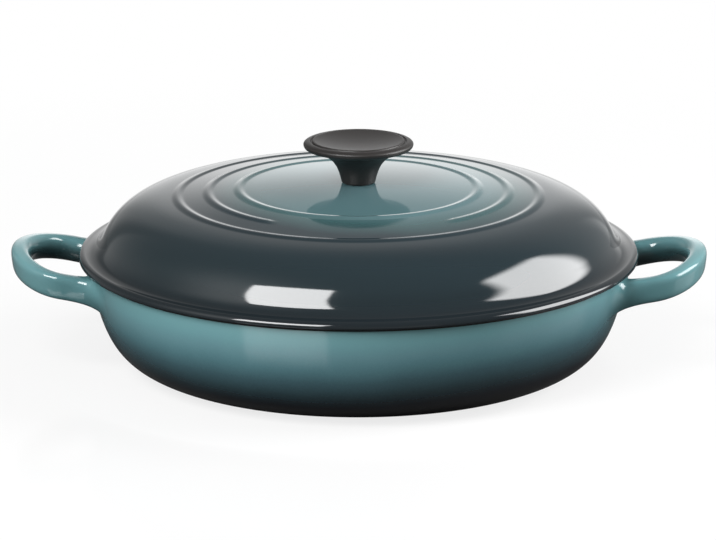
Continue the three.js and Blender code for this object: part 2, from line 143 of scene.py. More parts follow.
def add_node(tree, kind, inputs=(), stops=None, **settings):
    """Adds a node. settings are its options, stops the places and colours of its ramp, where it has one.
    A node that is given as an input stands for the first output that it offers."""
    node = tree.nodes.new("ShaderNode" + kind)
    for name, value in settings.items():
        setattr(node, name, value)
    for name, value in inputs.items() if isinstance(inputs, dict) else enumerate(inputs):
        if isinstance(value, bpy.types.Node):
            value = next(output for output in value.outputs if output.enabled)
        if isinstance(value, bpy.types.NodeSocket):
            tree.links.new(value, node.inputs[name])
        else:
            node.inputs[name].default_value = value
    if stops:
        elements = node.color_ramp.elements
        while len(elements) < len(stops):
            elements.new(1.0)
        for element, (place, hex_colour) in zip(elements, stops):
            element.position = place
            element.color = linear(hex_colour)
    return node


def new_material(name):
    """An empty material and its node tree."""
    material = bpy.data.materials.new(name)
    material.use_nodes = True
    material.node_tree.nodes.clear()
    return material, material.node_tree


print("teal in linear light:", np.round(linear("#5e8c91"), 3))

# %% [markdown]
# ## Surfaces from arrays
#
# Nearly everything on a pot is turned or lofted, so each piece is a grid of points: rows along a profile or
# a path, columns round it. numpy works out all points at once. The faces follow from the grid's numbering,
# and a row that shrinks to a point on the axis is closed with a fan of triangles.

# %% Helpers for meshes
def grid_faces(rows, columns, closed):
    """Quads of a grid whose columns wrap round: (i, j), (i, j+1), (i+1, j+1), (i+1, j). A closed grid also
    joins its last row to its first."""
    i, j = np.meshgrid(np.arange(rows if closed else rows - 1), np.arange(columns), indexing="ij")
    next_i = (i + 1) % rows
    next_j = (j + 1) % columns
    corners = [i * columns + j, i * columns + next_j, next_i * columns + next_j, next_i * columns + j]
    return np.stack(corners, axis=-1).reshape(-1, 4)


def skin(rings, poles=None):
    """Points and faces of a stack of rings. With two poles its ends are closed by fans of triangles,
    without them the last ring joins the first one."""
    rows, columns = rings.shape[:2]
    points = rings.reshape(-1, 3)
    faces = grid_faces(rows, columns, poles is None).tolist()
    if poles is None:
        return points, faces, np.repeat(np.arange(rows), columns)
    j = np.arange(columns)
    next_j = (j + 1) % columns
    first = np.full(columns, len(points))
    last = (rows - 1) * columns
    faces += np.stack([first, next_j, j], axis=1).tolist()
    faces += np.stack([last + j, last + next_j, first + 1], axis=1).tolist()
    row_of_face = np.concatenate([np.repeat(np.arange(rows - 1), columns), 0 * j, 0 * j + rows - 2])
    return np.vstack([points, poles]), faces, row_of_face


def full_turn(steps):
    """Angles in even steps once round the axis."""
    return np.arange(steps) * (2.0 * np.pi / steps)


def around_axis(radius, angle, height):
    """Grid of points: the one with radius r and angle a lies at (r cos a, r sin a), at its height."""
    x = radius * np.cos(angle)
    return np.stack([x, radius * np.sin(angle), np.broadcast_to(height, x.shape)], axis=-1)


def turned(profile, steps, lift=0.0):
    """Surface of revolution: each point (r, z) of the profile goes once round the axis. A lift adds a height
    to each point of the grid. A profile that starts on the axis also ends there."""
    on_axis = profile[0, 0] == 0.0
    rings = profile[1:-1] if on_axis else profile
    grid = around_axis(rings[:, :1], full_turn(steps), rings[:, 1:] + lift)
    ends = [[0.0, 0.0, profile[0, 1]], [0.0, 0.0, profile[-1, 1]]]
    return skin(grid, np.array(ends) if on_axis else None)


def capped(rings):
    """A loft whose ends are closed round the middles of its first and last ring."""
    return skin(rings, np.stack([rings[0].mean(axis=0), rings[-1].mean(axis=0)]))


def make_piece(name, body, node, surface, materials, material_of_row=None, painted_shade=None):
    """Puts a surface in millimetres into a smooth mesh that rides on a body and stands for a solid. The
    share of painted shade, where it is given, is kept with each point for the enamel to read."""
    points, faces, row_of_face = surface
    mesh = bpy.data.meshes.new(name)
    mesh.from_pydata((points * MM).tolist(), [], faces)
    for material in materials:
        mesh.materials.append(material)
    mesh.polygons.foreach_set("use_smooth", np.ones(len(faces), dtype=bool))
    if material_of_row is not None:
        finish = np.asarray(material_of_row)[row_of_face]
        mesh.polygons.foreach_set("material_index", finish.astype(np.int32))
    if painted_shade is not None:
        mesh.attributes.new("painted_shade", "FLOAT", "POINT").data.foreach_set("value", painted_shade)
    mesh.update()
    piece = add_object(name, mesh)
    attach(piece, body)
    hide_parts(node)
    print(name, "faces:", len(faces), "size, mm:", np.ptp(points, axis=0).round(1))


# %% [markdown]
# ## Curves for profiles
#
# A founder draws a profile with straight lines, arcs and smooth sweeps. A Bezier curve gives all three: its
# end points fix where it starts and stops, and its inner points how it leaves and arrives. An offset of the
# same curve gives the inside of a wall of even thickness. From here on, the sizes of the pot are in
# millimetres and its angles in degrees. A pull is how far a curve keeps to the direction of its end, and
# the last number that a line is given is how many points it gets.

# %% Helpers for curves
def bezier(control, count):
    """Bezier curve: the sum of the control points, each times its binomial number, t to the power of its
    place and 1 - t to the power of what is left, for t from 0 to 1."""
    control = np.asarray(control, dtype=float)
    order = len(control) - 1
    place = np.arange(order + 1)
    t = np.linspace(0.0, 1.0, count)[:, None]
    binomial = np.array([math.comb(order, int(k)) for k in place])
    return (binomial * t ** place * (1.0 - t) ** (order - place)) @ control


def arc(centre, radius, start, end, count):
    """Circular arc: the centre plus the radius times (cos a, sin a), with a from start to end in degrees."""
    a = np.radians(np.linspace(start, end, count))
    return np.asarray(centre) + radius * np.stack([np.cos(a), np.sin(a)], axis=1)


def heading(length, degrees):
    """A step of that length in the direction of that angle."""
    return length * np.array([math.cos(math.radians(degrees)), math.sin(math.radians(degrees))])


def unit(steps):
    """Steps in the same directions, each of length 1."""
    return steps / np.linalg.norm(steps, axis=1, keepdims=True)


def moved_left(line, thickness):
    """Offset of a plane line: each point moves by the thickness, a quarter turn left of its direction."""
    step = unit(np.gradient(line, axis=0))
    return line + np.reshape(thickness, (-1, 1)) * np.stack([-step[:, 1], step[:, 0]], axis=1)


def level(start, end, height, count):
    """A level stretch of a profile between two radii."""
    return np.stack([np.linspace(start, end, count), np.full(count, height)], axis=1)


print("quarter arc, mm:", arc((0.0, 0.0), 1.0, 0.0, 90.0, 3).round(3).tolist())

# %% [markdown]
# ## Vitreous enamel
#
# The outside is glass on iron. The eye sees a hard mirror-like gloss over a colour that lies under it, and
# a faint waviness, because the melted glass draws up before it sets. The colour is sprayed: light teal at
# the rim of the bowl fades to black at its base, and the teal middle of the lid fades to slate at the
# shoulder. A painted picture could hold the fade, but it would need a flat map of each surface. A colour
# ramp along the height, or along the radius, needs none. A fine noise added to that height stands for the
# droplets of the spray, a coarse one for the uneven hand, and a drift for a fade that sits higher on one
# side than on the other. The shade on the inner, lower side of the handles is painted in, as a near-black.

# %% Enamel on the outside
# Real droplets of spray are finer: the grain is drawn as coarse as it needs to be to show in the render.
SPRAY_GRAIN = 1.1 * MM
SPRAY_CLOUD = 30.0 * MM
CLOUD_SHARE = 1.6
PEEL = 3.5 * MM
PEEL_DEPTH = 0.004 * MM
GLASS_ROUGHNESS = (0.05, 0.09)
GLASS_IOR = 1.6
# A near-black that paints the shade on the inner, lower side of the handles.
PAINTED_SHADE_COLOUR = "#0c1113"


def enamel(name, stops, reach, radial, grain, outer, drift):
    """Glossy enamel whose colour follows the height, or the radius where radial is set, from 0 to reach. It
    turns into each outer colour between the two distances that are given with it, which are counted from
    the axis where radial is set, and otherwise along X, towards the handles. The drift moves the fade: it
    goes from one X to another, and from one amount to another between them. Where the piece gives a share
    of painted shade, the colour turns towards a near-black by that share. Lengths are in millimetres."""
    material, tree = new_material(name)
    place = add_node(tree, "TexCoord").outputs["Object"]
    parts = add_node(tree, "SeparateXYZ", [place])
    if radial:
        flat = add_node(tree, "VectorMath", [place, (1.0, 1.0, 0.0)], operation="MULTIPLY")
        outwards = add_node(tree, "VectorMath", [flat], operation="LENGTH")
        along = outwards
    else:
        outwards = add_node(tree, "Math", [parts.outputs["X"]], operation="ABSOLUTE")
        along = parts.outputs["Z"]
    limits = np.multiply(drift, MM).tolist()
    uneven = add_node(tree, "MapRange", [parts.outputs["X"], *limits], **SMOOTH)
    along = add_node(tree, "Math", [along, uneven], operation="ADD")
    for size, share in ((SPRAY_GRAIN, 1.0), (SPRAY_CLOUD, CLOUD_SHARE)):
        noise = add_node(tree, "TexNoise", {"Vector": place, "Scale": 1.0 / size, "Detail": 2.0})
        centred = add_node(tree, "Math", [noise, 0.5], operation="SUBTRACT")
        spread = [centred, 2.0 * grain * MM * share, along]
        along = add_node(tree, "Math", spread, operation="MULTIPLY_ADD")
    faded = add_node(tree, "MapRange", [along, 0.0, reach * MM])
    colour = add_node(tree, "ValToRGB", {"Fac": faded}, stops=stops)
    colour_mixes = []
    for hex_colour, start, end in outer:
        share = add_node(tree, "MapRange", [outwards, start * MM, end * MM], **SMOOTH)
        colour_mixes.append((share, hex_colour))
    # Painted shade: where the mesh gives a share, the colour turns towards the near-black.
    painted_shade = add_node(tree, "Attribute", attribute_name="painted_shade")
    colour_mixes.append((painted_shade.outputs["Fac"], PAINTED_SHADE_COLOUR))
    for share, hex_colour in colour_mixes:
        mix = {"Factor": share, "A": colour, "B": linear(hex_colour)}
        colour = add_node(tree, "Mix", mix, data_type="RGBA")
    peel = add_node(tree, "TexNoise", {"Vector": place, "Scale": 1.0 / PEEL, "Detail": 1.0})
    bump = add_node(tree, "Bump", {"Height": peel, "Distance": PEEL_DEPTH})
    gloss = add_node(tree, "MapRange", [peel, 0.0, 1.0, *GLASS_ROUGHNESS])
    shader = add_node(tree, "BsdfPrincipled", {
        "Base Color": colour, "Roughness": gloss, "IOR": GLASS_IOR, "Normal": bump,
    })
    add_node(tree, "OutputMaterial", {"Surface": shader})
    return material


# The stops near the top are the light teal of the rim, made a little lighter where the brim shades the wall:
# partly painted light.
BOWL_STOPS = [
    (0.0, "#07090c"), (0.1, "#080b10"), (0.19, "#0d151e"), (0.32, "#2c4147"), (0.45, "#3f5d65"),
    (0.58, "#547c84"), (0.71, "#679299"), (0.81, "#70a0a6"), (0.9, "#76a7ac"), (1.0, "#76a7ac"),
]
# The handles are the same enamel as the rim. The first outer colour paints them, and the wall round their
# roots, darker from 130 mm out along X: painted shade, which also takes the rim's painted light off them.
# The second paints the tips lighter from 158 mm out: painted light where the tips face the light from the
# sides.
bowl_enamel = enamel(
    "vitreous_enamel_teal_to_black", BOWL_STOPS, reach=62.0, radial=False, grain=1.2,
    outer=[("#547d81", 130.0, 148.0), ("#669094", 158.0, 186.0)], drift=(-20.0, 110.0, 0.0, -5.0),
)
LID_STOPS = [
    (0.0, "#506d72"), (0.42, "#4d696d"), (0.5, "#385456"), (0.61, "#1f2d33"), (0.72, "#1e292e"),
    (0.82, "#1f2b30"), (1.0, "#1f2a2e"),
]
lid_enamel = enamel(
    "vitreous_enamel_teal_to_slate", LID_STOPS, reach=153.0, radial=True, grain=2.0,
    outer=[("#181f23", 136.0, 148.0)], drift=(-110.0, 110.0, 13.0, -9.0),
)
print("enamels:", bowl_enamel.name, lid_enamel.name)

# %% [markdown]
# ## The inside and the bare places
#
# Inside, such pots are lined with a pale sand-coloured enamel with a few darker specks. The rim of the bowl
# and the underside of the brim get only a thin matt black coat, because coloured glass would chip where
# iron stands on iron. The ring that the pot stands on is ground flat. Each of these is one colour with a
# grain, and so are the knob and the metals further on, so one function makes them all.

# %% Lining, bare rim and foot
# The grit of the grinding, like the grain of the mould and the lathe's marks further on, is finer on the
# real pot, and is drawn just coarse enough to show.
SPECK = 2.2 * MM
GRIND = 0.5 * MM
GRIND_DEPTH = 0.03 * MM


def grained(name, stops, grain, detail, relief, roughness, stretch=(1.0, 1.0, 1.0), metallic=0.0):
    """A material with a grain: one noise runs through its colours and lifts its surface by the relief. Where
    two values of roughness are given, it also takes the gloss from the first to the second. The stretch
    squeezes the place that the noise reads, so the grain is drawn out along an axis."""
    material, tree = new_material(name)
    place = add_node(tree, "TexCoord").outputs["Object"]
    drawn = add_node(tree, "VectorMath", [place, stretch], operation="MULTIPLY")
    noise = add_node(tree, "TexNoise", {"Vector": drawn, "Scale": 1.0 / grain, "Detail": detail})
    ramp = add_node(tree, "ValToRGB", {"Fac": noise}, stops=stops)
    bump = add_node(tree, "Bump", {"Height": noise, "Distance": relief})
    if isinstance(roughness, tuple):
        roughness = add_node(tree, "MapRange", [noise, 0.0, 1.0, *roughness])
    shader = add_node(tree, "BsdfPrincipled", {
        "Base Color": ramp, "Metallic": metallic, "Roughness": roughness, "Normal": bump,
    })
    add_node(tree, "OutputMaterial", {"Surface": shader})
    return material


# A glossy sand colour. Specks are where the noise passes a high threshold.
sand_lining = grained(
    "vitreous_enamel_sand", [(0.0, "#cdc0a7"), (0.62, "#cdc0a7"), (0.7, "#b7a688"), (1.0, "#9c8a6f")],
    SPECK, detail=3.0, relief=PEEL_DEPTH, roughness=0.2,
)
# A dry, slightly uneven black, with the grain of the casting under it.
ground_coat = grained(
    "matt_black_ground_coat", [(0.3, "#131416"), (0.7, "#232527")],
    GRIND, detail=4.0, relief=GRIND_DEPTH, roughness=0.55,
)
print("inside and rim:", sand_lining.name, ground_coat.name)

# %% [markdown]
# ## The bowl
#
# The bowl is cast in sand, so its profile has no sharp edges: a ground foot ring, a soft heel, a wall that
# swells and then leans out to the rim. It could be pulled out of a cylinder, but a profile keeps every size
# exact. It runs from the middle of the underside round the rim to the middle of the floor, and is turned
# about the axis. Each row of the grid knows its finish.

# %% Profile of the bowl
RIM_RADIUS = 149.5
BOWL_HEIGHT = 60.3
BASE_RADIUS = 103.0
WALL = 3.8
FLOOR = 4.6
RIM_ROUND = 1.2
FOOT_WIDTH = 14.0
FOOT_DEPTH = 0.8
FOOT_EASE = 0.6
FOOT_MARGIN = 2.0
HEEL_MARGIN = 0.8
HEEL_ANGLE = 6.0
HEEL_PULL = 36.0
WALL_LEAN = 15.2
WALL_PULL = 36.0
CORNER_HEIGHT = 1.6
RIM_MARGIN = 0.3
BOWL_STEPS = 224

rim_centre = np.array([RIM_RADIUS - RIM_ROUND, BOWL_HEIGHT - RIM_ROUND])
wall_foot = np.array([BASE_RADIUS, 0.0])
wall_head = rim_centre + heading(RIM_ROUND, -WALL_LEAN)
wall_line = bezier([
    wall_foot, wall_foot + heading(HEEL_PULL, HEEL_ANGLE),
    wall_head - heading(WALL_PULL, 90.0 - WALL_LEAN), wall_head,
], 90)

hollow = BASE_RADIUS - FOOT_WIDTH
underside = np.vstack([
    level(0.0, hollow - 2.0 * FOOT_DEPTH, FOOT_DEPTH, 10),
    bezier([
        (hollow - FOOT_DEPTH, FOOT_DEPTH), (hollow, FOOT_DEPTH), (hollow, 0.0), (hollow + FOOT_EASE, 0.0),
    ], 6),
    level(hollow + FOOT_MARGIN, BASE_RADIUS - HEEL_MARGIN, 0.0, 5),
])
rim_inside = np.array([RIM_RADIUS - WALL + RIM_ROUND, BOWL_HEIGHT - RIM_ROUND])
rim_line = np.vstack([
    arc(rim_centre, RIM_ROUND, -WALL_LEAN, 90.0, 10)[1:],
    arc(rim_inside, RIM_ROUND, 90.0, 180.0 - WALL_LEAN, 10),
])
inner_line = moved_left(wall_line, np.linspace(FLOOR, WALL, len(wall_line)))[::-1]
above_corner = inner_line[:, 1] > FLOOR + CORNER_HEIGHT
below_rim = inner_line[:, 1] < rim_line[-1, 1] - RIM_MARGIN
inner_line = inner_line[above_corner & below_rim]
inner_step = inner_line[-1] - inner_line[-2]
reach = (inner_line[-1, 1] - FLOOR) * inner_step[0] / -inner_step[1]
bend = np.array([inner_line[-1, 0] + reach, FLOOR])
floor_line = np.vstack([
    bezier([inner_line[-1], bend, (bend[0] + reach, FLOOR)], 14)[1:],
    level(bend[0] + reach, 0.0, FLOOR, 14)[1:],
])
bowl_profile = np.vstack([underside, wall_line, rim_line, inner_line, floor_line])
finish_counts = [len(underside), len(wall_line), len(rim_line) - 1, len(inner_line) + len(floor_line)]
ENAMEL_FINISH, BARE_FINISH, LINED_FINISH = range(3)
finishes = [BARE_FINISH, ENAMEL_FINISH, BARE_FINISH, LINED_FINISH]
make_piece(
    "pot_bowl", "pot", "pot", turned(bowl_profile, BOWL_STEPS),
    [bowl_enamel, ground_coat, sand_lining], np.repeat(finishes, finish_counts)[1:],
)

# %% [markdown]
# ## The loop handles
#
# Each handle is a bar that leaves the wall, climbs, bends round and comes back. Its section is a rounded
# rectangle that is rounder towards the fingers, and its outer side leans in, so that the pattern draws out
# of the sand. A curve with a bevel could make the bar, but not its roots, so it is a loft: the section is
# carried along the centre line. Where the bar meets the wall the casting has a fillet, because molten iron
# does not fill a sharp corner well. For each point of the last section a short curve runs ahead to the wall
# and then out along it, which makes the bar flow into the bowl.

# %% Centre line of a handle
HANDLE_REACH = 40.8
HANDLE_SPREAD = 79.2
HANDLE_BEND = 24.5
HANDLE_TOE = 5.0
TIP_DROP = 1.0
ROOT_DROP = 10.0
HANDLE_SWEEP = 1.7
BAR_WIDTH = 10.7


def wall_radius(height):
    """Radius of the outside of the bowl at a height, from its profile."""
    return np.interp(height, wall_line[:, 1], wall_line[:, 0])


def handle_line(count):
    """Centre line of the right-hand loop: an arm that spreads, two quarter ellipses and the other arm, in
    even steps along its length. Its height climbs with the way out to the tip, raised to a power."""
    root_height = BOWL_HEIGHT - ROOT_DROP
    root_y = HANDLE_SPREAD / 2.0 - HANDLE_TOE
    root_x = math.sqrt(wall_radius(root_height) ** 2 - root_y ** 2) - WALL
    tip_x = RIM_RADIUS + HANDLE_REACH - BAR_WIDTH / 2.0
    bend_x = tip_x - HANDLE_BEND
    wide = HANDLE_SPREAD / 2.0
    roundness = 4.0 / 3.0 * (math.sqrt(2.0) - 1.0)
    shoulder = bend_x + roundness * HANDLE_BEND
    arm = bezier([(root_x, root_y), ((root_x + bend_x) / 2.0, wide), (bend_x, wide)], 200)
    half_bend = bezier([(bend_x, wide), (shoulder, wide), (tip_x, roundness * wide), (tip_x, 0.0)], 400)
    half = np.vstack([arm, half_bend[1:]])
    plan = np.vstack([half, half[-2::-1] * (1.0, -1.0)])
    way_out = np.maximum((plan[:, 0] - root_x) / (tip_x - root_x), 0.0) ** HANDLE_SWEEP
    line = np.column_stack([plan, root_height + (ROOT_DROP - TIP_DROP) * way_out])
    travelled = np.concatenate([[0.0], np.cumsum(np.linalg.norm(np.diff(line, axis=0), axis=1))])
    even = np.linspace(0.0, travelled[-1], count)
    return np.stack([np.interp(even, travelled, line[:, axis]) for axis in range(3)], axis=1)


LINE_COUNT = 241
loop = handle_line(LINE_COUNT)
loop_length = np.linalg.norm(np.diff(loop, axis=0), axis=1).sum()
print("handle centre line, mm:", loop_length.round(1), "tip:", loop[LINE_COUNT // 2].round(1))

# %% Loft of a handle
BAR_HEIGHT = 13.9
BAR_FULLNESS = 3.6
BAR_FULLNESS_INSIDE = 2.2
BAR_DRAFT = 1.5
DRAFT_LEVEL = 0.4
BAR_SIDES = 72
bar_turn = full_turn(BAR_SIDES)


def bar_rings(line):
    """Sections along the line: centre + across * half width * c + up * half height * s, where c and s are
    the cosine and sine of the turn raised to 2 / fullness with their signs kept. The side towards the
    fingers is less full, so it is rounder. The outer side leans in by the draft from top to bottom, and
    has its full width where s is the draft's level. The directions along the line come with them."""
    along = unit(np.gradient(line, axis=0))
    across = unit(np.stack([-along[:, 1], along[:, 0], np.zeros(len(line))], axis=1))
    up = np.cross(along, across)
    power = 2.0 / np.where(np.cos(bar_turn) > 0.0, BAR_FULLNESS, BAR_FULLNESS_INSIDE)
    c = np.sign(np.cos(bar_turn)) * np.abs(np.cos(bar_turn)) ** power
    s = np.sign(np.sin(bar_turn)) * np.abs(np.sin(bar_turn)) ** power
    half_width = BAR_WIDTH / 2.0 - np.where(c > 0.0, BAR_DRAFT * (DRAFT_LEVEL - s) / 2.0, 0.0)
    sideways = across[:, None, :] * (half_width * c)[None, :, None]
    upwards = up[:, None, :] * (BAR_HEIGHT / 2.0 * s)[None, :, None]
    return line[:, None, :] + sideways + upwards, along


bar, bar_along = bar_rings(loop)
print("sections of the bar:", len(bar), "points round each:", BAR_SIDES)

# %% Roots of a handle
ROOT_START = 16.0
ROOT_FILLET = 16.0
ROOT_FILLET_UNDER = 6.0
ROOT_FILLET_OVER = 1.5
FILLET_POWER = 1.5
ROOT_ROWS = 14
ROOT_BURIED = 1.5
HALVINGS = 40
NUDGE = 0.1


def onto_wall(points):
    """Moves points level with themselves onto the outside of the bowl, those above the wall to its head."""
    height = np.minimum(points[:, 2], wall_head[1] - NUDGE)
    scale = wall_radius(height) / np.hypot(points[:, 0], points[:, 1])
    return np.column_stack([points[:, :2] * scale[:, None], height])


def root_rings(ring, ahead):
    """Fillet from a ring of the bar into the wall. The wall straight ahead of each point of the ring is
    found by halving, and the foot of the fillet lies on the wall further out. A quadratic curve runs from
    the ring to the foot, and its middle point is where the line straight ahead meets the plane that
    touches the wall at the foot, so the curve leaves along the bar and arrives along the wall."""
    near = np.zeros(len(ring))
    far = np.full(len(ring), 3.0 * ROOT_START)
    for _ in range(HALVINGS):
        middle = (near + far) / 2.0
        probe = ring + middle[:, None] * ahead
        outside = np.hypot(probe[:, 0], probe[:, 1]) > wall_radius(probe[:, 2])
        near = np.where(outside, middle, near)
        far = np.where(outside, far, middle)
    hit = ring + near[:, None] * ahead
    out = unit(hit - hit.mean(axis=0))
    over_under = np.where(out[:, 2] > 0.0, ROOT_FILLET_OVER, ROOT_FILLET_UNDER)
    fillet = ROOT_FILLET + (over_under - ROOT_FILLET) * np.abs(out[:, 2]) ** FILLET_POWER
    foot = onto_wall(hit + fillet[:, None] * out)
    slope = (wall_radius(foot[:, 2] + NUDGE) - wall_radius(foot[:, 2] - NUDGE)) / (2.0 * NUDGE)
    normal = np.column_stack([foot[:, :2] / np.hypot(foot[:, 0], foot[:, 1])[:, None], -slope])
    way = ((foot - ring) * normal).sum(axis=1) / (normal @ ahead)
    corner = ring + way[:, None] * ahead
    t = np.linspace(0.0, 1.0, ROOT_ROWS)[1:, None, None]
    rows = (1.0 - t) ** 2 * ring + 2.0 * t * (1.0 - t) * corner + t ** 2 * foot
    past = onto_wall(foot + ROOT_BURIED * out) - NUDGE * normal
    return np.concatenate([rows, past[None], (past - ROOT_BURIED * normal)[None]])


first = int(round((ROOT_START + WALL) / loop_length * (LINE_COUNT - 1)))
last = LINE_COUNT - 1 - first
handle_grid = np.concatenate([
    root_rings(bar[first], -bar_along[first])[::-1],
    bar[first:last + 1],
    root_rings(bar[last], bar_along[last]),
])
print("sections with both roots:", len(handle_grid))

# %% [markdown]
# The inner, lower side of the loop lies in shade, and that shade is painted in. Each point keeps its share
# of painted shade, as an attribute of the mesh that the enamel reads. The left handle is the right one after
# half a turn about the axis of the bowl.

# %% Painted shade and both handles
# Painted shade on the inner, lower side of the loops: its largest share, and where it grows.
PAINTED_SHADE_SHARE = 0.85
SHADOW_SIDE = (-0.1, 0.7)
SHADOW_HEIGHT = (-0.85, 0.25)
SHADOW_ROOT = (0.0, 0.6)


def smooth_step(value, start, end):
    """0 below start, 1 above end, and 3 t squared less 2 t cubed between them."""
    t = np.clip((value - start) / (end - start), 0.0, 1.0)
    return t * t * (3.0 - 2.0 * t)


def painted_handle_shade(rows):
    """Share of painted shade on the loop: it grows towards the fingers and downwards, where the loop shades
    itself, times a share along the loop that falls to nothing where the roots run out on the wall."""
    hidden = smooth_step(-np.cos(bar_turn), *SHADOW_SIDE) * smooth_step(-np.sin(bar_turn), *SHADOW_HEIGHT)
    root = np.append(np.linspace(1.0, 0.0, ROOT_ROWS)[1:], [0.0, 0.0])
    along_loop = np.concatenate([root[::-1], np.ones(rows - 2 * len(root)), root])
    share = PAINTED_SHADE_SHARE * smooth_step(along_loop, *SHADOW_ROOT)[:, None] * hidden
    return np.append(share, [0.0, 0.0])


# The share of painted shade at each point of a handle.
handle_shade_share = painted_handle_shade(len(handle_grid))
for side, turn in (("right", np.ones(3)), ("left", np.array([-1.0, -1.0, 1.0]))):
    make_piece(
        "pot_handle_" + side, "pot", "pot", capped(handle_grid * turn), [bowl_enamel],
        painted_shade=handle_shade_share,
    )

# %% [markdown]
# ## The lid
#
# The lid is one casting too: a brim with a rounded edge that overhangs the rim, a lip below it that keeps
# the lid in place, a hollow sweep from the brim into a steep shoulder, and a wide, nearly flat crown. Three
# rounded ridges run round the crown, and the middle one stops short on both sides of the front. The profile
# is turned like the bowl's. Ridges that are sculpted by hand would wobble in the gloss, so they are a height
# added to the grid, and one of them can fade out along the way round.

# %% Crown and shoulder of the lid
SEAT_GAP = 0.3
LID_BASE = BOWL_HEIGHT + SEAT_GAP
LID_RADIUS = 153.0
LID_RISE = 40.7
BRIM_WIDTH = 13.7
BRIM_THICKNESS = 4.0
SWEEP_RISE = 8.4
CROWN_RADIUS = 707.0
SHOULDER_TOP_PULL = 25.2
SHOULDER_TOP_ANGLE = 2.5
SHOULDER_FOOT_PULL = 10.7
SHOULDER_FOOT_ANGLE = 62.9
RIDGE_RADIUS = 98.8
EASE = 4.0
EASE_REACH = 10.0
EASE_STEP = 0.25
FINE_START = 40.0


def crown_height(radius, sphere, top):
    """Height of a spherical cap: the top less the sphere's radius, plus the root of that radius squared
    less the distance from the axis squared."""
    return top - sphere + np.sqrt(sphere ** 2 - np.asarray(radius) ** 2)


shoulder_foot = np.array([LID_RADIUS - BRIM_WIDTH, BRIM_THICKNESS + SWEEP_RISE])
shoulder_head = np.array([RIDGE_RADIUS, float(crown_height(RIDGE_RADIUS, CROWN_RADIUS, LID_RISE))])
shoulder_line = bezier([
    shoulder_foot, shoulder_foot + heading(SHOULDER_FOOT_PULL, 180.0 - SHOULDER_FOOT_ANGLE),
    shoulder_head + heading(SHOULDER_TOP_PULL, -SHOULDER_TOP_ANGLE), shoulder_head,
], 121)

# The curvature jumps where the shoulder takes over from the cap, and gloss would show that as a line. A
# bell-shaped average of the heights takes the jump away near the outer ridge.
fine_radius = np.arange(FINE_START, LID_RADIUS - BRIM_WIDTH, EASE_STEP)
fine_height = np.where(
    fine_radius < RIDGE_RADIUS, crown_height(fine_radius, CROWN_RADIUS, LID_RISE),
    np.interp(fine_radius, shoulder_line[::-1, 0], shoulder_line[::-1, 1]),
)
window = np.exp(-0.5 * (np.arange(-4.0 * EASE, 4.0 * EASE, EASE_STEP) / EASE) ** 2)
eased = np.convolve(fine_height, window / window.sum(), mode="same")
near_ridge = np.exp(-((fine_radius - RIDGE_RADIUS) / EASE_REACH) ** 4)
fine_height = fine_height + near_ridge * (eased - fine_height)


def crown_line(radius):
    """Outside of the lid without its ridges: the cap, eased into the shoulder under the outer ridge."""
    inner = crown_height(np.minimum(radius, RIDGE_RADIUS), CROWN_RADIUS, LID_RISE)
    return np.where(radius < fine_radius[0], inner, np.interp(radius, fine_radius, fine_height))


print("crown at, mm:", LID_BASE + LID_RISE, "steepest circle:", shoulder_foot.round(1))

# %% Underside of the lid
LID_WALL = 3.4
PAD_RADIUS = 11.0
PAD_THICKNESS = 5.0
PAD_EDGE = 0.6
PAD_EASE = 1.0
BORE_RADIUS = 3.1
LIP_DEPTH = 3.0
LIP_WIDTH = 4.7
LIP_ROUND = 0.8
LIP_CORNER = 0.5
LIP_CLEARANCE = 1.8
UNDER_MARGIN = 4.0
UNDER_STRIDE = 3
UNDER_SKIP = 4

pad_underside = LID_RISE - PAD_THICKNESS
pad_foot = PAD_RADIUS + 2.0 * (PAD_THICKNESS - LID_WALL)
under_radii = np.linspace(pad_foot, RIDGE_RADIUS - UNDER_MARGIN, 24)
under_heights = crown_height(under_radii, CROWN_RADIUS - LID_WALL, LID_RISE - LID_WALL)
under_crown = np.stack([under_radii, under_heights], axis=1)
under_shoulder = moved_left(shoulder_line, LID_WALL)[::-UNDER_STRIDE]
lip_outside = RIM_RADIUS - WALL - LIP_CLEARANCE
lip_inside = lip_outside - LIP_WIDTH
lip_centre = LIP_ROUND - LIP_DEPTH
foot_slope = math.tan(math.radians(SHOULDER_FOOT_ANGLE))
lip_head = under_shoulder[-1] + (lip_inside - under_shoulder[-1, 0]) * np.array([1.0, -foot_slope])
lower_half = np.vstack([
    level(BORE_RADIUS, PAD_RADIUS - PAD_EDGE, pad_underside, 6),
    bezier([
        (PAD_RADIUS, pad_underside), (PAD_RADIUS + PAD_EASE, pad_underside),
        (pad_foot - PAD_EASE, under_crown[0, 1]), under_crown[0],
    ], 8),
    under_crown[1:],
    under_shoulder[UNDER_SKIP:],
    bezier([under_shoulder[-1], lip_head, (lip_inside, 0.0)], 10)[1:],
    arc((lip_inside + LIP_ROUND, lip_centre), LIP_ROUND, 180.0, 270.0, 6),
    arc((lip_outside - LIP_ROUND, lip_centre), LIP_ROUND, 270.0, 360.0, 6),
    bezier([(lip_outside, -LIP_CORNER), (lip_outside, 0.0), (lip_outside + LIP_CORNER, 0.0)], 4),
])
print("underside, points:", len(lower_half), "lip from", lip_inside, "to", lip_outside, "mm")

# %% Brim, sweep and outside of the lid
BRIM_ROUND = 3.6
BRIM_UNDERCUT = 0.9
SWEEP_FALL = 3.5
RIDGED_OUTSIDE = 112.0
RIDGED_INSIDE = 58.0
RIDGED_STEP = 0.5

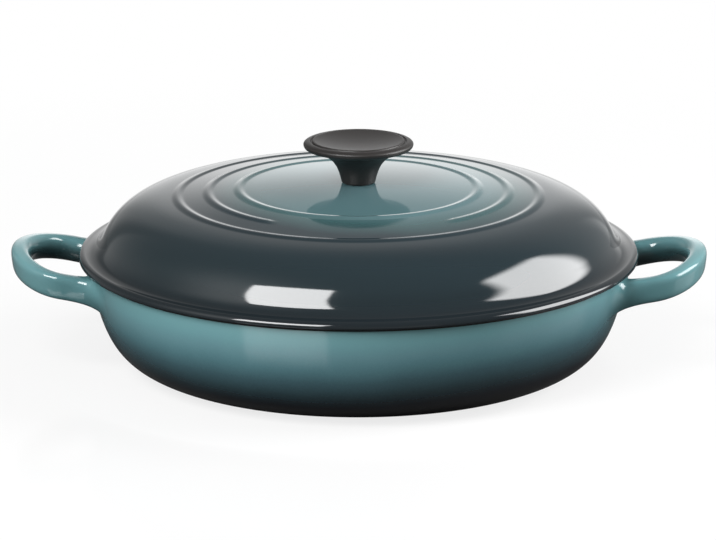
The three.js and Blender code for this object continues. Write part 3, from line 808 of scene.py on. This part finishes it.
brim_top = np.array([LID_RADIUS - BRIM_ROUND, BRIM_THICKNESS])
edge_size = np.array([BRIM_ROUND, BRIM_THICKNESS - BRIM_UNDERCUT])
fall = math.tan(math.radians(SWEEP_FALL))
bend_width = (SWEEP_RISE - (brim_top[0] - shoulder_foot[0]) * fall) / (foot_slope - fall)
sweep_bend = shoulder_foot + bend_width * np.array([1.0, -foot_slope])
sweep_pull = (shoulder_foot + sweep_bend) / 2.0
ridged = np.arange(RIDGED_OUTSIDE, RIDGED_INSIDE, -RIDGED_STEP)
crown_radii = np.concatenate([ridged, np.linspace(RIDGED_INSIDE, BORE_RADIUS, 22)])
upper_half = np.vstack([
    arc((LID_RADIUS - BRIM_UNDERCUT, BRIM_UNDERCUT), BRIM_UNDERCUT, -90.0, 0.0, 8),
    arc((0.0, 0.0), 1.0, 0.0, 90.0, 28)[1:] * edge_size + (brim_top[0], BRIM_UNDERCUT),
    bezier([brim_top, sweep_bend, sweep_pull, shoulder_foot], 40)[1:-1],
    shoulder_line[shoulder_line[:, 0] > RIDGED_OUTSIDE],
    np.stack([crown_radii, crown_line(crown_radii)], axis=1),
])
lid_profile = np.vstack([lower_half, upper_half])
print("profile of the lid, points:", len(lid_profile))

# %% Ridges and the lid's mesh
LID_STEPS = 240
RIDGE_PITCH = 16.75
RIDGE_COUNT = 3
RIDGE_WIDTH = 7.2
RIDGE_HEIGHT = 0.7
OPEN_RIDGE = 1
OPEN_ANGLE = 66.0
OPEN_FADE = 6.0
OPEN_CENTRE = 2.6
BARE_BELOW = 12
BARE_EDGE = 4


def ridge_height(radius, angle):
    """Height of the ridges: a cosine squared across each one, times 1 less the opening where the ridge is
    left open. The opening is 1 within half the open angle of its middle and fades to 0 past it."""
    from_front = np.degrees(np.arctan2(np.cos(angle), -np.sin(angle)))
    away = np.abs((from_front - OPEN_CENTRE + 180.0) % 360.0 - 180.0)
    kept = smooth_step(away, OPEN_ANGLE / 2.0, OPEN_ANGLE / 2.0 + OPEN_FADE)
    total = np.zeros((len(radius), len(angle)))
    for index in range(RIDGE_COUNT):
        offset = (radius - (RIDGE_RADIUS - index * RIDGE_PITCH)) / RIDGE_WIDTH
        bead = RIDGE_HEIGHT * np.cos(np.pi * np.clip(offset, -0.5, 0.5)) ** 2
        total += bead[:, None] * (kept if index == OPEN_RIDGE else np.ones_like(kept))
    return total


outside = np.arange(len(lid_profile)) >= len(lower_half)
ridges = ridge_height(lid_profile[:, 0], full_turn(LID_STEPS)) * outside[:, None]
lid_counts = [len(lower_half) - BARE_BELOW, BARE_BELOW + BARE_EDGE, len(upper_half) - BARE_EDGE]
make_piece(
    "lid_casting", "lid", "lid", turned(lid_profile + (0.0, LID_BASE), LID_STEPS, ridges),
    [lid_enamel, ground_coat, sand_lining],
    np.repeat([LINED_FINISH, BARE_FINISH, ENAMEL_FINISH], lid_counts),
)

# %% [markdown]
# ## The knob
#
# The knob is pressed from phenolic resin, a hard black plastic that stands oven heat. The eye sees a satin
# black that turns grey where it faces the light, with the very fine grain of the mould. The shape is a
# waisted stem that flares into a disc with a rounded border, a groove and a dished top. It is turned like
# the bowl, with the pocket for its metal bush left open underneath.

# %% Phenolic resin
MOULD_GRAIN = 0.7 * MM
MOULD_DEPTH = 0.012 * MM
black_resin = grained(
    "phenolic_resin_black", [(0.3, "#211f1e"), (0.7, "#282524")],
    MOULD_GRAIN, detail=3.0, relief=MOULD_DEPTH, roughness=(0.38, 0.5),
)
print("knob:", black_resin.name)

# %% Knob
KNOB_BASE = LID_BASE + LID_RISE + SEAT_GAP
KNOB_RADIUS = 30.0
KNOB_HEIGHT = 23.6
STEM_RADIUS = 9.3
STEM_ROUND = 0.8
STEM_FLAT = 1.0
STEM_EDGE = 0.2
STEM_LEAN = 14.0
STEM_PULL = 7.7
DISC_PULL = 15.7
DISC_ANGLE = 14.3
EDGE_DROP = 2.3
EDGE_ROUND = 2.3
DISH_RADIUS = 25.3
DISH_DEPTH = 2.4
LIP_EASE = 1.0
GROOVE_WIDTH = 1.0
GROOVE_DEPTH = 1.1
BORDER_STEP = 0.4
BUSH_RADIUS = 5.0
BUSH_GROOVE = 0.9
BUSH_GROOVE_WIDTH = 2.4
BUSH_SPARE = 1.5
BUSH_CAP = 2.0
SCREW_ENGAGEMENT = 8.0
KNOB_STEPS = 128
bush_hole = SCREW_ENGAGEMENT + BUSH_SPARE
bush_length = bush_hole + BUSH_CAP


def bush_outline(gap):
    """Outline of the threaded bush from its closed end down to its foot, grown by a gap on every side."""
    radius = BUSH_RADIUS + gap
    waist = radius - BUSH_GROOVE
    top = bush_length + gap
    low = (bush_length - BUSH_GROOVE_WIDTH) / 2.0 + gap
    high = (bush_length + BUSH_GROOVE_WIDTH) / 2.0 - gap
    return np.array([
        (0.0, top), (radius, top), (radius, high + BUSH_GROOVE),
        (waist, high), (waist, low), (radius, low - BUSH_GROOVE), (radius, 0.0),
    ])


edge_centre = np.array([KNOB_RADIUS - EDGE_ROUND, KNOB_HEIGHT - EDGE_DROP])
edge_foot = edge_centre - (0.0, EDGE_ROUND)
stem_foot = STEM_RADIUS - STEM_ROUND
stem_arc = arc((stem_foot, STEM_ROUND), STEM_ROUND, -90.0, -STEM_LEAN, 8)
border_inside = DISH_RADIUS + GROOVE_WIDTH
border_size = (KNOB_RADIUS - border_inside, EDGE_DROP - BORDER_STEP)
border = arc((0.0, 0.0), 1.0, 0.0, 90.0, 24) * border_size + (border_inside, edge_centre[1])
groove_floor = KNOB_HEIGHT - GROOVE_DEPTH
lip = np.array([DISH_RADIUS - LIP_EASE, KNOB_HEIGHT])
dish = np.array([0.0, KNOB_HEIGHT - DISH_DEPTH])
knob_profile = np.vstack([
    bush_outline(SEAT_GAP),
    level(stem_foot - STEM_FLAT, stem_foot - STEM_EDGE, 0.0, 2),
    stem_arc,
    bezier([
        stem_arc[-1], stem_arc[-1] + heading(STEM_PULL, 90.0 - STEM_LEAN),
        edge_foot - heading(DISC_PULL, DISC_ANGLE), edge_foot,
    ], 48)[1:-1],
    arc(edge_centre, EDGE_ROUND, -90.0, 0.0, 18)[:-1],
    border,
    bezier([
        border[-1], (border_inside, groove_floor), (DISH_RADIUS, groove_floor),
        (DISH_RADIUS, KNOB_HEIGHT - LIP_EASE),
    ], 9)[1:],
    bezier([(DISH_RADIUS, KNOB_HEIGHT - LIP_EASE), (DISH_RADIUS, KNOB_HEIGHT), lip], 6)[1:],
    bezier([lip, (lip[0] / 2.0, dish[1]), dish], 40)[1:],
])
make_piece(
    "knob_moulding", "lid", "knob", turned(knob_profile + (0.0, KNOB_BASE), KNOB_STEPS),
    [black_resin],
)

# %% [markdown]
# ## The fastening
#
# A pan-head screw comes up through the lid from inside, with a spring washer under its head, and turns
# into a brass bush that is moulded into the knob. The screw and the bush are lathe work and the washer is
# rolled: the eye sees bright metal with fine marks that break up the highlight. Only the head and the washer
# show, and only when the lid is off, so threads are left out and the driver's cross is not.

# %% Turned metals
LATHE_MARK = 0.25 * MM
LATHE_DEPTH = 0.004 * MM
LATHE_STRETCH = (1.0, 1.0, 0.35)
METALS = {
    "stainless_steel_turned": ("#9c9ea0", "#bcbec0", 0.28),
    "spring_steel_rolled": ("#8b8d8f", "#a9abad", 0.35),
    "brass_turned": ("#a8854c", "#c39f63", 0.3),
}
stainless, spring_steel, brass = [
    grained(
        name, [(0.3, dull), (0.7, bright)], LATHE_MARK, detail=2.0, relief=LATHE_DEPTH, roughness=roughness,
        stretch=LATHE_STRETCH, metallic=1.0,
    )
    for name, (dull, bright, roughness) in METALS.items()
]
print("metals:", stainless.name, spring_steel.name, brass.name)

# %% Screw
SCREW_RADIUS = 2.5
SCREW_TIP = 0.5
HEAD_RADIUS = 5.6
HEAD_HEIGHT = 3.2
HEAD_CROWN = 1.4
HEAD_EDGE = 0.2
RECESS_WIDTH = 1.4
RECESS_LENGTH = 6.0
RECESS_DEPTH = 1.6
RECESS_EDGE = 0.25
WASHER_THICKNESS = 1.4
SMALL_STEPS = 96

pad_height = LID_BASE + pad_underside
head_top = pad_height - 2.0 * SEAT_GAP - WASHER_THICKNESS
head_bottom = head_top - HEAD_HEIGHT
head_flat = HEAD_RADIUS / 2.0
screw_tip = pad_height + PAD_THICKNESS + SEAT_GAP + SCREW_ENGAGEMENT
head_face = np.vstack([
    level(0.0, head_flat, head_bottom, 40),
    bezier([
        (head_flat, head_bottom), (HEAD_RADIUS, head_bottom), (HEAD_RADIUS, head_bottom + HEAD_CROWN),
    ], 16)[1:],
])
screw_profile = np.vstack([
    head_face,
    [(HEAD_RADIUS, head_top - HEAD_EDGE), (HEAD_RADIUS - HEAD_EDGE, head_top), (SCREW_RADIUS, head_top)],
    [(SCREW_RADIUS, screw_tip - SCREW_TIP), (SCREW_RADIUS - SCREW_TIP, screw_tip), (0.0, screw_tip)],
])


def cross_recess(radius, angle):
    """Depth of the driver's cross: a bar is deep where it is within its half width and half length, with
    sloping edges, and the cross is the deeper one of two bars at right angles."""
    x = radius[:, None] * np.cos(angle)
    y = radius[:, None] * np.sin(angle)
    half = RECESS_WIDTH / 2.0
    far = RECESS_LENGTH / 2.0
    bars = []
    for across, along in ((y, x), (x, y)):
        within = smooth_step(-np.abs(across), -half, RECESS_EDGE - half)
        bars.append(within * smooth_step(-np.abs(along), -far, RECESS_EDGE - far))
    return RECESS_DEPTH * np.maximum(*bars)


on_head = np.arange(len(screw_profile) - 2) < len(head_face) - 1
recess = cross_recess(screw_profile[1:-1, 0], full_turn(SMALL_STEPS)) * on_head[:, None]
screw_surface = turned(screw_profile, SMALL_STEPS, recess)
screw_surface[0][-2, 2] += RECESS_DEPTH
make_piece("knob_screw_turned", "lid", "knob_screw", screw_surface, [stainless])

# %% Washer and bush
WASHER_RADIUS = 4.6
WASHER_SPLIT = 14.0
WASHER_EDGE = 0.15
WASHER_ROWS = 90
THREAD_CLEARANCE = 0.3

hole = SCREW_RADIUS + THREAD_CLEARANCE
washer_top = pad_height - SEAT_GAP
washer_low = washer_top - WASHER_THICKNESS
washer_section = np.array([
    (hole, washer_low + WASHER_EDGE), (hole + WASHER_EDGE, washer_low),
    (WASHER_RADIUS - WASHER_EDGE, washer_low), (WASHER_RADIUS, washer_low + WASHER_EDGE),
    (WASHER_RADIUS, washer_top - WASHER_EDGE), (WASHER_RADIUS - WASHER_EDGE, washer_top),
    (hole + WASHER_EDGE, washer_top), (hole, washer_top - WASHER_EDGE),
])
half_split = WASHER_SPLIT / 2.0
washer_turn = np.radians(np.linspace(360.0 - half_split, half_split, WASHER_ROWS))[:, None]
washer_grid = around_axis(washer_section[:, 0], washer_turn, washer_section[:, 1])
make_piece("knob_washer_split", "lid", "knob_washer", capped(washer_grid), [spring_steel])

bush_profile = np.vstack([[(0.0, bush_hole), (hole, bush_hole), (hole, 0.0)], bush_outline(0.0)[::-1]])
make_piece(
    "knob_bush_turned", "lid", "knob_insert",
    turned(bush_profile + (0.0, KNOB_BASE), SMALL_STEPS), [brass],
)

# %% [markdown]
# ## The studio
#
# The pot stands on a pale table in front of a white backdrop. To the camera both are plain white, which the
# floor and the sky do by asking what kind of ray arrives. Gloss shows what surrounds the pot, so it sees the
# white only where the backdrop is, straight behind, and a darker room elsewhere. The floor keeps a little of
# its own lit surface, so that a soft shadow stays under the pot. Its left part is polished and mirrors the
# front lamp up into the wall of the bowl, except close to the pot.

# %% Floor
# Lengths are in metres here. A pair is where a change begins and ends, or the two values at its ends.
FLOOR_RINGS = np.array([3.0, 1.0, 0.5, 0.2])
FLOOR_DROP = 0.2 * MM
FLOOR_STEPS = 64
WHITE_REACH = (0.25, 0.7)
WHITE_SHARE = (0.8, 1.0)
STRIP_SPREAD = -0.12
STRIP_EDGE = (0.26, 0.1)
STRIP_START = (0.12, 0.4)
TABLE_GREYS = [(0.0, "#505050"), (1.0, "#e6e6e6")]
POLISH_EDGE = (0.1, -0.02)
POLISH_SHARE = (0.1, 0.95)
POLISH_RING = (0.172, 0.2)
POLISHED_ROUGHNESS = 0.12


def white_seen(tree, path, paper, to_camera):
    """Share of white that a ray meets: the paper's for a glossy or transmitted ray, another for a ray from
    the camera. Whether the ray is glossy or transmitted comes with it."""
    shiny = [path.outputs["Is Glossy Ray"], path.outputs["Is Transmission Ray"]]
    gloss = add_node(tree, "Math", shiny, operation="MAXIMUM")
    either = [gloss, paper, to_camera]
    return add_node(tree, "Math", either, operation="MULTIPLY_ADD", use_clamp=True), gloss


def floor_material():
    """Pale table: white to the camera with some of the lit surface near the pot, white to glossy and
    transmitted rays on a strip behind the pot that widens with the distance, and otherwise a plain grey
    with a polish on its left part."""
    material, tree = new_material("pale_table")
    path = add_node(tree, "LightPath")
    place = add_node(tree, "TexCoord").outputs["Object"]
    split = add_node(tree, "SeparateXYZ", [place])
    far = add_node(tree, "VectorMath", [place], operation="LENGTH")
    whiteness = add_node(tree, "MapRange", [far, *WHITE_REACH, *WHITE_SHARE])
    camera_white = add_node(tree, "Math", [path.outputs["Is Camera Ray"], whiteness], operation="MULTIPLY")
    aside = add_node(tree, "Math", [split.outputs["X"]], operation="ABSOLUTE")
    width = add_node(tree, "Math", [split.outputs["Y"], STRIP_SPREAD, aside], operation="MULTIPLY_ADD")
    strip = add_node(tree, "MapRange", [width, *STRIP_EDGE], **SMOOTH)
    behind = add_node(tree, "MapRange", [split.outputs["Y"], *STRIP_START], **SMOOTH)
    paper = add_node(tree, "Math", [strip, behind], operation="MULTIPLY")
    seen_white, _ = white_seen(tree, path, paper, camera_white)
    tone = add_node(tree, "ValToRGB", [path.outputs["Is Camera Ray"]], stops=TABLE_GREYS)
    left = add_node(tree, "MapRange", [split.outputs["X"], *POLISH_EDGE, *POLISH_SHARE], **SMOOTH)
    clear = add_node(tree, "MapRange", [far, *POLISH_RING], **SMOOTH)
    polish = add_node(tree, "Math", [left, clear], operation="MULTIPLY")
    lit = add_node(tree, "BsdfPrincipled", {
        "Base Color": tone, "Roughness": POLISHED_ROUGHNESS, "Specular IOR Level": polish,
    })
    plain = add_node(tree, "Emission", {"Color": linear("#ffffff"), "Strength": 1.0})
    surface = add_node(tree, "MixShader", [seen_white, lit, plain])
    add_node(tree, "OutputMaterial", {"Surface": surface})
    return material


floor_grid = around_axis(FLOOR_RINGS[:, None], full_turn(FLOOR_STEPS), -FLOOR_DROP)
floor_points = floor_grid.reshape(-1, 3).tolist()
floor_middle = list(range(len(floor_points) - FLOOR_STEPS, len(floor_points)))
floor_mesh = bpy.data.meshes.new("table")
floor_faces = grid_faces(len(FLOOR_RINGS), FLOOR_STEPS, False).tolist() + [floor_middle]
floor_mesh.from_pydata(floor_points, [], floor_faces)
floor_mesh.materials.append(floor_material())
table = add_object("table", floor_mesh)
print("table radius, m:", FLOOR_RINGS[0])

# %% [markdown]
# ## The lamps
#
# A photographer lights enamel with large diffusers, because every one of them shows as a shape in the gloss.
# One leans in over the front left with crisp edges. A larger one stands upright at the right, soft at its
# edges and dimmer towards one side. In Blender each is an area lamp, and a small node graph on the lamp
# rounds its corners, fades its edges and dims it. A glowing sheet would do too, but with more noise.

# %% Lamps
def lamp(name, azimuth, lean, distance, aside, middle_height, size, radiance, corner, fade, falling):
    """A panel at that distance that faces the pot, moved aside to its own right, with its head leaning in.
    Its power is 4 times its area times the brightness of its face. A point p of the face is as far outside
    its core as |p| less the core's half size is long, with parts under 0 left out. That distance dims it
    from the fade's start to the edge. The brightness also falls by a share from one side to the other.
    Lengths are in metres."""
    width, height = size
    data = bpy.data.lights.new(name, "AREA")
    data.shape = "RECTANGLE"
    data.size = width
    data.size_y = height
    data.energy = 4.0 * width * height * radiance
    data.use_nodes = True
    tree = data.node_tree
    tree.nodes.clear()
    spot = add_node(tree, "NewGeometry").outputs["Parametric"]
    middle = [spot, (width, height, 0.0), (-width / 2.0, -height / 2.0, 0.0)]
    centred = add_node(tree, "VectorMath", middle, operation="MULTIPLY_ADD")
    folded = add_node(tree, "VectorMath", [centred], operation="ABSOLUTE")
    core = (width / 2.0 - corner, height / 2.0 - corner, 0.0)
    past = add_node(tree, "VectorMath", [folded, core], operation="SUBTRACT")
    out = add_node(tree, "VectorMath", [past, (0.0, 0.0, 0.0)], operation="MAXIMUM")
    away = add_node(tree, "VectorMath", [out], operation="LENGTH")
    share = add_node(tree, "MapRange", [away, corner, corner - fade], **SMOOTH)
    sideways = add_node(tree, "SeparateXYZ", [spot]).outputs["X"]
    slope = add_node(tree, "MapRange", [sideways, 0.0, 1.0, 1.0, 1.0 - falling])
    strength = add_node(tree, "Math", [share, slope], operation="MULTIPLY")
    face = add_node(tree, "Emission", {"Color": linear("#ffffff"), "Strength": strength})
    add_node(tree, "OutputLight", {"Surface": face})
    light = add_object(name, data)
    light.visible_camera = False
    towards = direction(math.radians(azimuth), 0.0)
    to_its_right = direction(math.radians(azimuth + 90.0), 0.0)
    position = distance * towards + aside * to_its_right + (0.0, 0.0, middle_height)
    place_facing(light, position, math.radians(azimuth), math.radians(lean))
    print(name, "power, W:", round(data.energy, 1))


lamp(
    "panel_front_left", azimuth=-20.0, lean=20.0, distance=1.2, aside=-0.31, middle_height=1.045,
    size=(0.96, 0.83), radiance=10.2, corner=0.05, fade=0.05, falling=0.0,
)
lamp(
    "panel_right", azimuth=94.0, lean=0.0, distance=1.3, aside=0.0, middle_height=0.865,
    size=(1.5, 1.43), radiance=8.5, corner=0.3, fade=0.3, falling=0.3,
)

# %% [markdown]
# ## The room
#
# Away from the lamps the gloss mirrors a dim room: a lit wall behind that ends at an upright edge on the
# left, two pale screens, and some light that spills round the front lamp. A photographed panorama could be
# wrapped round the scene, but the pot only needs a few broad shapes, and each of them is a range of angles.
# The dot product of the look and a fixed direction is the cosine of the angle between them, so it is 0 on
# the upright plane through the pot at right angles to a level direction, and grows past it.

# %% Sky
ROOM_LIGHT = 0.16
WALL_LIGHT = 0.3
WALL_FADE = (0.1, 0.9)
WALL_EDGE = (0.1, -0.1)
SPILL_LIGHT = 0.8
SPILL_FOCUS = 12.0
SIDES = {
    "lit_wall": (165.0, -20.0), "wall_edge": (-67.0, 0.0), "spill": (-62.0, 33.0),
    "left_screen": (-57.0, 0.0), "right_screen": (71.0, 0.0),
}
SCREENS = {
    "left_screen": {"edge": 0.04, "end": 0.85, "top": 0.62, "bright": 0.22, "dim": 0.16, "spread": 0.35},
    "right_screen": {"edge": 0.03, "end": 0.2, "top": 0.4, "bright": 0.4, "dim": 0.0, "spread": 0.16},
}
END_SHARE = 0.6

world = bpy.data.worlds.new("studio")
world.use_nodes = True
bpy.context.scene.world = world
sky = world.node_tree
sky.nodes.clear()
ray = add_node(sky, "LightPath")
look = add_node(sky, "TexCoord").outputs["Generated"]
towards = add_node(sky, "SeparateXYZ", [look])
facing = {}
for side, (azimuth, elevation) in SIDES.items():
    aim = tuple(direction(math.radians(azimuth), math.radians(elevation)))
    facing[side] = add_node(sky, "VectorMath", [look, aim], operation="DOT_PRODUCT")
lit_wall = add_node(sky, "MapRange", [facing["lit_wall"], *WALL_FADE, 0.0, WALL_LIGHT], **SMOOTH)
wall_edge = add_node(sky, "MapRange", [facing["wall_edge"], *WALL_EDGE], **SMOOTH)
room = add_node(sky, "Math", [lit_wall, wall_edge, ROOM_LIGHT], operation="MULTIPLY_ADD")

# A screen starts at its edge, stops at its end, thins out upwards, and dims with the way from its edge.
for side, screen in SCREENS.items():
    past = facing[side]
    shares = [
        [past, -screen["edge"], screen["edge"]],
        [past, screen["end"], END_SHARE * screen["end"]],
        [towards.outputs["Z"], screen["top"], 0.0],
        [past, screen["spread"], 0.0, screen["dim"], screen["bright"]],
    ]
    glow = 1.0
    for share in shares:
        part = add_node(sky, "MapRange", share, **SMOOTH)
        glow = add_node(sky, "Math", [glow, part], operation="MULTIPLY")
    room = add_node(sky, "Math", [room, glow], operation="ADD")
in_front = add_node(sky, "Math", [facing["spill"], 0.0], operation="MAXIMUM")
spill = add_node(sky, "Math", [in_front, SPILL_FOCUS], operation="POWER")
room = add_node(sky, "Math", [spill, SPILL_LIGHT, room], operation="MULTIPLY_ADD")
print("sky nodes for the room:", len(sky.nodes))

# %% Backdrop
PAPER_GLOW = 0.55
PAPER_SIDE = (0.31, 0.03)
PAPER_TOP = (0.42, 0.08)

aside = add_node(sky, "Math", [towards.outputs["X"]], operation="ABSOLUTE")
narrow = add_node(sky, "MapRange", [aside, *PAPER_SIDE], **SMOOTH)
low = add_node(sky, "MapRange", [towards.outputs["Z"], *PAPER_TOP], **SMOOTH)
behind = add_node(sky, "Math", [towards.outputs["Y"], 0.0], operation="GREATER_THAN")
paper = add_node(sky, "Math", [narrow, low], operation="MULTIPLY")
paper_behind = add_node(sky, "Math", [paper, behind], operation="MULTIPLY")
seen_white, gloss = white_seen(sky, ray, paper_behind, ray.outputs["Is Camera Ray"])
glow = add_node(sky, "Math", [gloss, PAPER_GLOW, 1.0], operation="MULTIPLY_ADD")
around = add_node(sky, "Background", {"Color": linear("#ffffff"), "Strength": room})
white = add_node(sky, "Background", {"Color": linear("#ffffff"), "Strength": glow})
seen = add_node(sky, "MixShader", [seen_white, around, white])
add_node(sky, "OutputWorld", {"Surface": seen})
bpy.context.scene.view_settings.view_transform = "Standard"
print("sky nodes with the backdrop:", len(sky.nodes))
